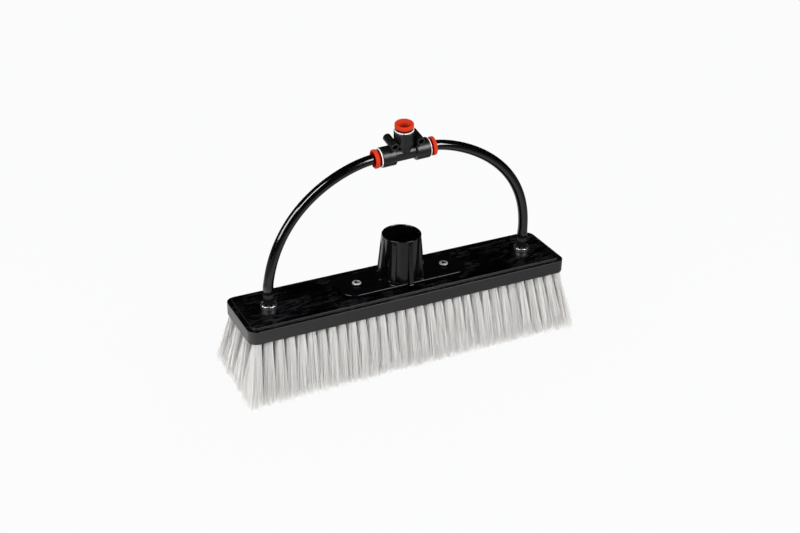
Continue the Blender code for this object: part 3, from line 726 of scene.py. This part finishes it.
def bristle_row(row, material):
    """Tufts of one row, fanned out so that they fill the field of tips."""
    random = np.random.default_rng(FIRST_ROW_SEED + row)
    half_rows = (ROWS - 1) / 2
    outer_tip_y = TIP_WIDTH / 2 - TUFT_TIP_RADIUS_Y
    outer_tip_x = TIP_LENGTH / 2 - TUFT_TIP_RADIUS_X
    places = list(tufts_of_row(row))
    outer_root_x = places[-1][0]
    tufts = []
    for x, y in places:
        share = x / outer_root_x
        tip_x = share * outer_tip_x + END_SPLAY * share ** 9 + random.normal(0, TUFT_WANDER)
        tip_y = (row - half_rows) / half_rows * outer_tip_y + random.normal(0, TUFT_WANDER)
        tip_y *= 1 + CORNER_SPLAY * abs(share) ** 9
        tufts.append(tuft(x, y, tip_x, tip_y, random))
    roots, tips, bows = (np.concatenate(points) for points in zip(*tufts))
    piece = add(f"bristle_tufts_{row + 1}", filament_mesh(roots, tips, bows))
    dress(piece, material, "brush", f"bristle_row_{row + 1}", weighted=False)


# -------------------- pole socket

def socket_section(body_radius, rib_radius, rib_half, z, body_steps=10):
    """Circle with ribs standing out of it, their edges and feet rounded."""
    nearly_flush = 2e-6
    height = max(rib_radius - body_radius, nearly_flush)
    round_off = min(0.45 * MM, height * 0.45)
    foot = 1.2 * MM
    profile = rounded([
        (-rib_half - foot, body_radius, 0),
        (-rib_half, body_radius, round_off),
        (-rib_half + 0.1 * MM, body_radius + height, round_off),
        (rib_half - 0.1 * MM, body_radius + height, round_off),
        (rib_half, body_radius, round_off),
        (rib_half + foot, body_radius, 0)], closed=False, steps=3)
    edge = math.asin((rib_half + foot) / body_radius)
    points = []
    for rib in range(RIB_COUNT):
        middle = 2 * math.pi * rib / RIB_COUNT
        for across, radius in profile:
            angle = middle + math.asin(across / radius)
            points.append(Vector((radius * math.cos(angle), radius * math.sin(angle), z)))
        gap = 2 * math.pi / RIB_COUNT - 2 * edge
        for step in range(1, body_steps):
            angle = middle + edge + gap * step / body_steps
            points.append(Vector((body_radius * math.cos(angle), body_radius * math.sin(angle), z)))
    return points


def rib_reach(z):
    """Reach of the ribs at a height, on their straight taper from the plate to their tops."""
    share = (z - PLATE_TOP) / (RIB_TOP_Z - PLATE_TOP)
    return RIB_FOOT_RADIUS + (RIB_TOP_RADIUS - RIB_FOOT_RADIUS) * share


def socket_tube():
    """Ribbed tube: sunk foot, fillet to the plate, tapering ribs that run out, and a rounded rim."""
    half = RIB_WIDTH / 2
    sections = [
        socket_section(SOCKET_RADIUS, PLATE_WIDTH / 2, half, PLATE_BOTTOM + 0.4 * MM),
        socket_section(SOCKET_RADIUS, rib_reach(PLATE_TOP), half, PLATE_TOP - 0.4 * MM)]
    fillet_steps = 6
    for step in range(fillet_steps + 1):
        angle = math.pi / 2 * step / fillet_steps
        rise = SOCKET_FILLET * (1 - math.cos(angle))
        grow = SOCKET_FILLET * (1 - math.sin(angle))
        z = PLATE_TOP + rise - 0.02 * MM
        sections.append(socket_section(
            SOCKET_RADIUS + grow, rib_reach(z) + grow * 0.5, half + grow * 0.4, z))
    sections.append(socket_section(SOCKET_RADIUS, rib_reach(RIB_TOP_Z), half, RIB_TOP_Z))
    for rise, share in RIB_RUN_OUT:
        radius = SOCKET_RADIUS + (RIB_TOP_RADIUS - SOCKET_RADIUS) * share
        sections.append(socket_section(SOCKET_RADIUS, radius, half, RIB_TOP_Z + rise))
    rim_round = 0.5 * MM
    rim_steps = 4
    for step in range(rim_steps + 1):
        angle = math.pi / 2 * step / rim_steps
        radius = SOCKET_RADIUS - rim_round * (1 - math.cos(angle))
        z = RIM_Z - rim_round * (1 - math.sin(angle))
        sections.append(socket_section(radius, radius, half, z))
    return loft(sections)


def pole_socket(material):
    """Screwed-down plate and ribbed tube in one moulding, with its bore and screw holes."""
    plate_profile = rounded([
        (4 * MM, PLATE_BOTTOM, 0),
        (0, PLATE_BOTTOM, 0.25 * MM),
        (0.1 * MM, PLATE_TOP, 0.6 * MM),
        (6 * MM, PLATE_TOP, 0)], closed=False)
    socket = add("pole_socket_moulding", stack(plate_profile, PLATE_LENGTH, PLATE_WIDTH, PLATE_CORNER))
    combine(socket, socket_tube(), 'UNION')

    bore = turned(rounded([
        (SOCKET_BORE_RADIUS + 1.5 * MM, RIM_Z + 1.5 * MM, 0),
        (SOCKET_BORE_RADIUS, RIM_Z - 0.3 * MM, 0.8 * MM),
        (SOCKET_BORE_RADIUS - 0.15 * MM, PLATE_BOTTOM - 1 * MM, 0)], closed=False),
        FINE_SEGMENTS, closed=False)
    combine(socket, bore, 'DIFFERENCE')
    hole = SCREW_SHANK_RADIUS + FIT_GAP
    for side, _ in SIDES:
        screw_hole = turned([
            (hole + 0.8 * MM, PLATE_TOP + 0.3 * MM),
            (hole, PLATE_TOP - 0.5 * MM),
            (hole, PLATE_BOTTOM - 1 * MM)], SMALL_SEGMENTS, closed=False)
        combine(socket, screw_hole, 'DIFFERENCE', Matrix.Translation((SCREW_X[side], 0, 0)))
    dress(socket, material, "brush", "pole_socket")


def socket_screw(side, material):
    """Pan-head screw with a tapered cross recess."""
    head = SCREW_HEAD_RADIUS
    shank = SCREW_SHANK_RADIUS
    under_head = -SCREW_HEAD_HEIGHT
    tip = PLATE_TOP + FIT_GAP - SCREW_TOP - SCREW_LENGTH
    outline = rounded([
        (0.2 * MM, 0, 0),
        (head - 0.9 * MM, -0.12 * MM, 1.2 * MM),
        (head, -0.75 * MM, 0.6 * MM),
        (head, under_head, 0.15 * MM),
        (shank, under_head, 0.2 * MM),
        (shank, tip + 1 * MM, 0.2 * MM),
        (0.3 * MM, tip, 0)], closed=False)
    screw = add(f"cross_head_screw_{side}", turned(outline, SMALL_SEGMENTS, closed=False))
    for degrees in (SCREW_TURN_DEGREES, SCREW_TURN_DEGREES + 90):
        slot = loft([rounded_rectangle(length, width, width * 0.3, z, corner_steps=4)
                     for length, width, z in SCREW_RECESS])
        combine(screw, slot, 'DIFFERENCE', Matrix.Rotation(math.radians(degrees), 4, 'Z'))
    screw.data.transform(Matrix.Translation((SCREW_X[side], 0, SCREW_TOP)))
    dress(screw, material, "brush", f"socket_screw_{side}")


# -------------------- jets and hoses

def jet_stem(side, material):
    """Turned jet stem: a flange inside the block, a collar above it, and a barb in the hose."""
    low = BLOCK_BOTTOM + FIT_GAP
    collar_low, collar_high = COLLAR_Z
    foot = HOSE_FOOT_Z
    groove = BARB_RADIUS - 0.5 * MM
    bore = 1.5 * MM
    nozzle = 0.9 * MM
    outline = rounded([
        (nozzle, low, 0.15 * MM),
        (JET_FLANGE_RADIUS, low, 0.4 * MM),
        (JET_FLANGE_RADIUS, low + JET_FLANGE_HEIGHT, 0.3 * MM),
        (JET_RADIUS, low + JET_FLANGE_HEIGHT, 0.2 * MM),
        (JET_RADIUS, collar_low - 0.5 * MM, 0.3 * MM),
        (COLLAR_RADIUS, collar_low, 0.3 * MM),
        (COLLAR_RADIUS, collar_high, 0.35 * MM),
        (BARB_RADIUS, collar_high + 0.3 * MM, 0.25 * MM),
        (BARB_RADIUS, foot + 1 * MM, 0.1 * MM),
        (groove, foot + 1.3 * MM, 0.1 * MM),
        (BARB_RADIUS, foot + 3 * MM, 0.1 * MM),
        (groove, foot + 4.6 * MM, 0.2 * MM),
        (bore, foot + 4.6 * MM, 0.15 * MM),
        (bore, low + 3 * MM, 0.1 * MM),
        (nozzle, low + 2 * MM, 0.1 * MM)])
    stem = add(f"jet_moulding_{side}", turned(outline), Matrix.Translation((JET_X[side], 0, 0)))
    dress(stem, material, "brush", f"jet_stem_{side}")


def retainer_section(angle):
    """Section of the retainer at an angle around it, folded in and up where there is a tooth."""
    wave = 0.5 + 0.5 * math.cos(RETAINER_TEETH * (angle + RETAINER_TURN))
    tooth = 1 / (1 + math.exp(-TOOTH_STEEPNESS * (wave - TOOTH_THRESHOLD)))
    inner = RETAINER_RIM_RADIUS + (RETAINER_TOOTH_RADIUS - RETAINER_RIM_RADIUS) * tooth
    lift = RETAINER_TOOTH_LIFT * tooth
    wall = RETAINER_RADIUS
    height = RETAINER_WALL_HEIGHT
    outer = rounded([
        (wall, 0, 0),
        (wall, height + lift * 0.4, 0.5 * MM),
        (RETAINER_RIM_RADIUS + 0.25 * MM, height + lift * 0.7, 0.15 * MM),
        (inner, height + lift, 0)], closed=False, steps=5)
    section = outer + [(inner + 0.1 * MM, height + lift - RETAINER_THICKNESS)]
    for radius, z in outer[-2:0:-1]:
        thickness = RETAINER_THICKNESS if z < height - 0.5 * MM else RETAINER_TOOTH_THICKNESS
        section.append((radius - thickness, max(z - RETAINER_THICKNESS, 0.0)))
    section.append((wall - RETAINER_THICKNESS, 0))
    spoke = Vector((math.cos(angle), math.sin(angle), 0))
    return [spoke * radius + Vector((0, 0, z)) for radius, z in section]


def jet_retainer(side, material):
    """Push-on retainer: an upright rim whose turned-in teeth grip the stem."""
    sections = [retainer_section(2 * math.pi * i / RETAINER_SEGMENTS) for i in range(RETAINER_SEGMENTS)]
    place = Matrix.Translation((JET_X[side], 0, BLOCK_TOP + FIT_GAP))
    retainer = add(f"star_retainer_{side}", loft(sections, closed=True), place)
    dress(retainer, material, "brush", f"jet_retainer_{side}")


def bezier(start, start_handle, end_handle, end, share):
    """Point at a share of the way along a cubic curve."""
    rest = 1 - share
    return (start * rest ** 3 + start_handle * 3 * rest ** 2 * share
            + end_handle * 3 * rest * share ** 2 + end * share ** 3)


def hose_path(side, sign):
    """Points along a hose, each with its outer and bore radius, from its foot to its seat in the tee."""
    foot = Vector((JET_X[side], 0, HOSE_FOOT_Z))
    above_barb = foot + Vector((0, 0, HOSE_SWELL_LENGTH))
    upwards = Vector((-sign * math.sin(FOOT_LEAN[side]), 0, math.cos(FOOT_LEAN[side])))
    outwards = RUN_AXIS * sign
    mouth = MOUTH[side] + FIT_GAP + RING_THICKNESS + COLLET_TRAVEL + COLLET_FLANGE_THICKNESS
    at_collet = TEE_CENTRE + outwards * mouth
    seat = TEE_CENTRE + outwards * (MOUTH[side] - HOSE_SEAT_DEPTH + FIT_GAP)
    swollen = HOSE_RADIUS + HOSE_SWELL
    swollen_bore = HOSE_BORE_RADIUS + HOSE_SWELL
    over_barb = (
        (0, swollen - 0.4 * MM, swollen_bore + 0.25 * MM),
        (0.12 * MM, swollen - 0.15 * MM, swollen_bore),
        (0.4 * MM, swollen, swollen_bore),
        (1.5 * MM, swollen, swollen_bore),
        (3 * MM, swollen, swollen_bore),
        (4 * MM, swollen - HOSE_SWELL / 4, swollen_bore - HOSE_SWELL / 4))
    path = [(foot + Vector((0, 0, height)), radius, bore) for height, radius, bore in over_barb]
    for step in range(HOSE_STEPS + 1):
        share = step / HOSE_STEPS
        point = bezier(above_barb, above_barb + upwards * FOOT_HANDLE[side],
                       at_collet + outwards * TEE_HANDLE, at_collet, share)
        relaxed = min(1.0, (point - above_barb).length / (4 * MM))
        swell = HOSE_SWELL * (1 - relaxed) / 2
        path.append((point, HOSE_RADIUS + swell, HOSE_BORE_RADIUS + swell))
    path.append((seat, HOSE_RADIUS, HOSE_BORE_RADIUS))
    return path


def hose(side, sign, material):
    """Hose with a flared foot over the barb, bent in one sweep to its port of the tee."""
    path = hose_path(side, sign)
    outer = []
    inner = []
    for i, (point, radius, bore) in enumerate(path):
        ahead = path[min(i + 1, len(path) - 1)][0]
        behind = path[max(i - 1, 0)][0]
        along = (ahead - behind).normalized()
        across = along.cross(Vector((0, 1, 0))).normalized()
        depth = along.cross(across)
        angles = [2 * math.pi * k / HOSE_SEGMENTS for k in range(HOSE_SEGMENTS)]
        spokes = [across * math.cos(angle) + depth * math.sin(angle) for angle in angles]
        outer.append([point + spoke * radius for spoke in spokes])
        inner.append([point + spoke * bore for spoke in spokes])
    piece = add(f"water_hose_{side}", loft(outer + inner[::-1], closed=True))
    dress(piece, material, None, f"hose_{side}", weighted=False)
    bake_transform(piece)


# -------------------- push-fit tee

def tee_run():
    """Straight run of the tee along X: a port at each end, and a waist between them."""
    mouth = MOUTH["left"]
    half = [
        (PORT_RADIUS - 0.9 * MM, mouth, 0.2 * MM),
        (PORT_RADIUS, mouth, 0.5 * MM),
        (PORT_RADIUS, PORT_START, 0.9 * MM),
        (WAIST_RADIUS, PORT_START - 0.5 * MM, 0.3 * MM)]
    mirrored = [(radius, -z, round_off) for radius, z, round_off in half[::-1]]
    outline = [(0.5 * MM, mouth, 0)] + half + mirrored + [(0.5 * MM, -mouth, 0)]
    return turned(rounded(outline, closed=False), closed=False)


def tee_branch():
    """Upright branch of the tee, with the inlet port."""
    waist = WAIST_RADIUS - 0.03 * MM
    return turned(rounded([
        (waist, -0.5 * MM, 0),
        (waist, PORT_START - 0.5 * MM, 0.3 * MM),
        (PORT_RADIUS, PORT_START, 0.9 * MM),
        (PORT_RADIUS, MOUTH["inlet"], 0.5 * MM),
        (0.5 * MM, MOUTH["inlet"], 0)], closed=False), closed=False)


def add_boss(body, sign):
    """Hollow mounting boss across the tee, on a web that stands on the run."""
    web = stack([(0, PORT_RADIUS - 1 * MM), (0, BOSS_Z)], WEB_LENGTH, WEB_WIDTH, 0.3 * MM)
    combine(body, web, 'UNION', Matrix.Translation((sign * (BOSS_X - 1.5 * MM), 0, 0)))
    place = Matrix.Translation((sign * BOSS_X, 0, BOSS_Z)) @ Matrix.Rotation(math.pi / 2, 4, 'X')
    half = BOSS_LENGTH / 2
    boss = turned(rounded([
        (0.4 * MM, -half, 0),
        (BOSS_RADIUS, -half, 0.45 * MM),
        (BOSS_RADIUS, half, 0.45 * MM),
        (0.4 * MM, half, 0)], closed=False), SMALL_SEGMENTS, closed=False)
    combine(body, boss, 'UNION', place)
    hole = turned(rounded([
        (BOSS_BORE_RADIUS + 0.8 * MM, -half - 0.6 * MM, 0),
        (BOSS_BORE_RADIUS, -half + 0.2 * MM, 0.15 * MM),
        (BOSS_BORE_RADIUS, half - 0.2 * MM, 0.15 * MM),
        (BOSS_BORE_RADIUS + 0.8 * MM, half + 0.6 * MM, 0)], closed=False), HOLE_SEGMENTS, closed=False)
    combine(body, hole, 'DIFFERENCE', place)


def port_bore(port):
    """Everything cut out of a port: the ring's bore, the hose's seat and the waterway."""
    floor = MOUTH[port] - PORT_BORE_DEPTH
    seat = MOUTH[port] - HOSE_SEAT_DEPTH
    return turned([
        (PORT_BORE_RADIUS + 0.3 * MM, MOUTH[port] + 1 * MM),
        (PORT_BORE_RADIUS, MOUTH[port] - 0.2 * MM),
        (PORT_BORE_RADIUS, floor),
        (HOSE_SEAT_RADIUS, floor),
        (HOSE_SEAT_RADIUS, seat),
        (WATERWAY_RADIUS, seat),
        (WATERWAY_RADIUS, -1.5 * MM)], closed=False)


def tee_body(material):
    """Tee moulding, built upright with its run along X and then moved to its place."""
    body = add("tee_moulding", tee_run(), Matrix.Rotation(math.pi / 2, 4, 'Y'))
    combine(body, tee_branch(), 'UNION')
    for _, sign in SIDES:
        add_boss(body, sign)
    for port, turn in (("left", -math.pi / 2), ("right", math.pi / 2), ("inlet", 0)):
        combine(body, port_bore(port), 'DIFFERENCE', Matrix.Rotation(turn, 4, 'Y'))
    body.data.transform(TEE)
    dress(body, material, "tee", "tee_body")


def port_ring(port, material):
    """Retaining ring at a port's mouth, with two small slots in its rim."""
    low = MOUTH[port] + FIT_GAP
    high = low + 0.6 * RING_THICKNESS
    sleeve = MOUTH[port] - RING_SLEEVE_DEPTH
    outline = rounded([
        (RING_BORE_RADIUS, sleeve, 0.15 * MM),
        (RING_SLEEVE_RADIUS, sleeve, 0.2 * MM),
        (RING_SLEEVE_RADIUS, low, 0.1 * MM),
        (RING_RADIUS, low, 0.2 * MM),
        (RING_RADIUS, high, 0.35 * MM),
        (RING_BORE_RADIUS, high, 0.3 * MM)])
    ring = add(f"mouth_ring_{port}", turned(outline, FINE_SEGMENTS))
    at_rim = Matrix.Translation((RING_RADIUS + 0.9 * MM, 0, 0))
    for degrees in (RING_SLOT_DEGREES, RING_SLOT_DEGREES + 180):
        slot = stack([(0, low - 0.1 * MM), (0, high + 0.5 * MM)], 3 * MM, 0.7 * MM, 0.1 * MM)
        combine(ring, slot, 'DIFFERENCE', Matrix.Rotation(math.radians(degrees), 4, 'Z') @ at_rim)
    ring.data.transform(PORT_MATRIX[port])
    dress(ring, material, "tee", f"port_ring_{port}")


def collet(port, material):
    """Release collet: a rounded flange with a funnel, on a sleeve that reaches into the port."""
    low = MOUTH[port] + FIT_GAP + RING_THICKNESS + COLLET_TRAVEL
    face = low + COLLET_FLANGE_THICKNESS
    lip = MOUTH[port] - RING_SLEEVE_DEPTH - FIT_GAP
    outline = rounded([
        (COLLET_TUBE_RADIUS, low, 0.2 * MM),
        (COLLET_FLANGE_RADIUS, low, 0.7 * MM),
        (COLLET_FLANGE_RADIUS, face, 0.8 * MM),
        (COLLET_FLANGE_RADIUS - 1.4 * MM, face, 0.5 * MM),
        (COLLET_BORE_RADIUS + 0.5 * MM, face - 2.4 * MM, 0.8 * MM),
        (COLLET_BORE_RADIUS, face - 4 * MM, 0.5 * MM),
        (COLLET_BORE_RADIUS, lip - 1 * MM, 0.1 * MM),
        (COLLET_TUBE_RADIUS, lip - 1 * MM, 0.1 * MM),
        (COLLET_LIP_RADIUS, lip - 0.5 * MM, 0.1 * MM),
        (COLLET_LIP_RADIUS, lip, 0.1 * MM),
        (COLLET_TUBE_RADIUS, lip, 0.1 * MM)])
    piece = add(f"release_collet_{port}", turned(outline, FINE_SEGMENTS), PORT_MATRIX[port])
    dress(piece, material, f"{port}_release_collet", f"collet_{port}")


def inner_parts(steel, seal):
    """Grab rings and seals keep their CAD shape and get procedural materials."""
    for port in PORTS:
        for node, material in ((f"grab_ring_{port}", steel), (f"seal_{port}", seal)):
            data = frame["nodes"][node].data
            data.materials.clear()
            data.materials.append(material)


# -------------------- studio

def number_of_ray(nodes, camera, diffuse, glossy):
    """A value for what the camera sees, for light on matt surfaces and for reflections."""
    ray = nodes.add('ShaderNodeLightPath').outputs
    lighting = nodes.between(ray["Is Diffuse Ray"], glossy, diffuse)
    return nodes.between(ray["Is Camera Ray"], lighting, camera)


def floor():
    """Pale floor that glows, even to the camera; it lights matt surfaces as a fill, and in reflections shows
    a painted pool of light, brightest near the object's back left.
    """
    nodes = material_nodes("pale_floor")
    tint = nodes.mix(nodes.noise(400 * MM, detail=2), (0.975, 0.977, 0.98), (0.985, 0.986, 0.99))
    place = nodes.place()
    # Painted pool of light seen in reflections: brighter towards the back left and fading away from the
    # object.
    leftwards = nodes.math('MULTIPLY', place["X"], -0.8)
    backwards = nodes.math('MULTIPLY', place["Y"], 0.6)
    towards_back_left = nodes.ramp(nodes.math('ADD', leftwards, backwards), -0.05, 0.22, 0.45, 1.35)
    away = nodes.add('ShaderNodeVectorMath', {0: nodes.coordinates}, operation='LENGTH').outputs["Value"]
    painted_light_pool = nodes.math('MULTIPLY', towards_back_left, nodes.ramp(away, 0.22, 0.5, 1.0, 0.12))
    strength = number_of_ray(nodes, FLOOR_WHITE, STUDIO_FILL, painted_light_pool)
    glow = nodes.add('ShaderNodeEmission', {"Color": tint, "Strength": strength})
    matt = nodes.add('ShaderNodeBsdfDiffuse', {"Color": (0.015, 0.015, 0.015, 1.0)})
    both = nodes.add('ShaderNodeAddShader', {0: glow.outputs[0], 1: matt.outputs[0]})
    nodes.add('ShaderNodeOutputMaterial', {"Surface": both.outputs[0]})
    made = add("studio_floor", loft([circle(FLOOR_RADIUS, -0.5 * MM), circle(FLOOR_RADIUS, 0)]))
    made.data.materials.append(nodes.owner)


def world():
    """White to the camera, a soft fill for matt surfaces, and a dark room in reflections."""
    made = bpy.data.worlds.new("studio")
    bpy.context.scene.world = made
    nodes = Nodes(made)
    strength = number_of_ray(nodes, BACKDROP_WHITE, STUDIO_FILL, ROOM_GREY)
    background = nodes.add('ShaderNodeBackground', {"Color": (1.0, 1.0, 1.0, 1.0), "Strength": strength})
    nodes.add('ShaderNodeOutputWorld', {"Surface": background.outputs[0]})


def softbox(name, direction, width, height, radiance, highlights_only=False):
    """Area lamp that faces the middle of the object and is gone after a few bounces."""
    lamp = bpy.data.lights.new(name, 'AREA')
    nodes = Nodes(lamp)
    depth = nodes.add('ShaderNodeLightPath').outputs["Ray Depth"]
    glow = nodes.add('ShaderNodeEmission', {"Strength": nodes.math('LESS_THAN', depth, LAMP_BOUNCES + 0.5)})
    nodes.add('ShaderNodeOutputLight', {"Surface": glow.outputs[0]})
    lamp.shape = 'RECTANGLE'
    lamp.size = width
    lamp.size_y = height
    lamp.energy = radiance * math.pi * width * height
    made = add(name, lamp)
    towards = Vector(direction).normalized()
    made.location = Vector((0, 0, BLOCK_TOP)) + towards * LAMP_DISTANCE
    made.rotation_euler = towards.to_track_quat('Z', 'Y').to_euler()
    made.visible_camera = False
    made.visible_diffuse = not highlights_only


def camera():
    """Camera in front of the object, to its left and above it, slightly rolled."""
    target = Vector((-0.8 * MM, 0, BLOCK_BOTTOM + 24.1 * MM))
    back = Vector((
        math.sin(CAMERA_AZIMUTH) * math.cos(CAMERA_ELEVATION),
        -math.cos(CAMERA_AZIMUTH) * math.cos(CAMERA_ELEVATION),
        math.sin(CAMERA_ELEVATION)))
    right = Vector((math.cos(CAMERA_AZIMUTH), math.sin(CAMERA_AZIMUTH), 0))
    up = back.cross(right)
    rolled_right = right * math.cos(CAMERA_ROLL) + up * math.sin(CAMERA_ROLL)
    rolled_up = up * math.cos(CAMERA_ROLL) - right * math.sin(CAMERA_ROLL)
    data = bpy.data.cameras.new("camera")
    data.lens = CAMERA_LENS
    data.sensor_width = CAMERA_SENSOR
    made = add("camera", data)
    rotation = Matrix((rolled_right, rolled_up, back)).transposed()
    made.matrix_world = Matrix.Translation(target + back * CAMERA_DISTANCE) @ rotation.to_4x4()
    bpy.context.scene.camera = made


# -------------------- assembly

def build():
    """Every visible piece of the object, from the block up."""
    brush_block(block_plastic())
    # The inner rows get a copy of the nylon with painted shade towards the roots; the outer rows stay
    # unshaded.
    outer_nylon = bristle_nylon("outer_bristle_nylon")
    root_shaded_nylon = bristle_nylon("inner_bristle_nylon_painted_shade", INNER_ROOT_SHADE)
    for row in range(ROWS):
        bristle_row(row, outer_nylon if row in (0, ROWS - 1) else root_shaded_nylon)
    pole_socket(socket_plastic())
    screw_steel = metal("screw_steel", (0.34, 0.333, 0.31), (0.48, 0.47, 0.44), (0.3, 0.45), 0.3 * MM,
                        metallic=0.7, recess=3 * MM)
    retainer_steel = metal("retainer_steel", (0.55, 0.545, 0.53), (0.72, 0.715, 0.70), (0.26, 0.4), 0.4 * MM)
    grab_steel = metal("grab_steel", (0.5, 0.5, 0.5), (0.66, 0.66, 0.65), (0.2, 0.35), 0.3 * MM)
    jet_black = jet_plastic()
    hose_black = hose_plastic()
    for side, sign in SIDES:
        socket_screw(side, screw_steel)
        jet_stem(side, jet_black)
        jet_retainer(side, retainer_steel)
        hose(side, sign, hose_black)
    tee_body(tee_plastic())
    pale_ring = ring_metal()
    orange = collet_acetal()
    for port in PORTS:
        port_ring(port, pale_ring)
        collet(port, orange)
    inner_parts(grab_steel, rubber())


def studio():
    """Floor, surroundings, lamps and camera of a plain product shot."""
    floor()
    world()
    softbox("softbox_front", (0.396, -0.729, 0.558), 0.65, 0.6, radiance=11)
    softbox("softbox_left", (-0.875, -0.083, 0.47), 0.6, 0.6, radiance=9)
    softbox("strip_upper_left", (-0.58, -0.28, 0.765), 0.24, 0.6, radiance=16, highlights_only=True)
    camera()
    bpy.context.scene.view_settings.view_transform = 'Standard'


build()
studio()
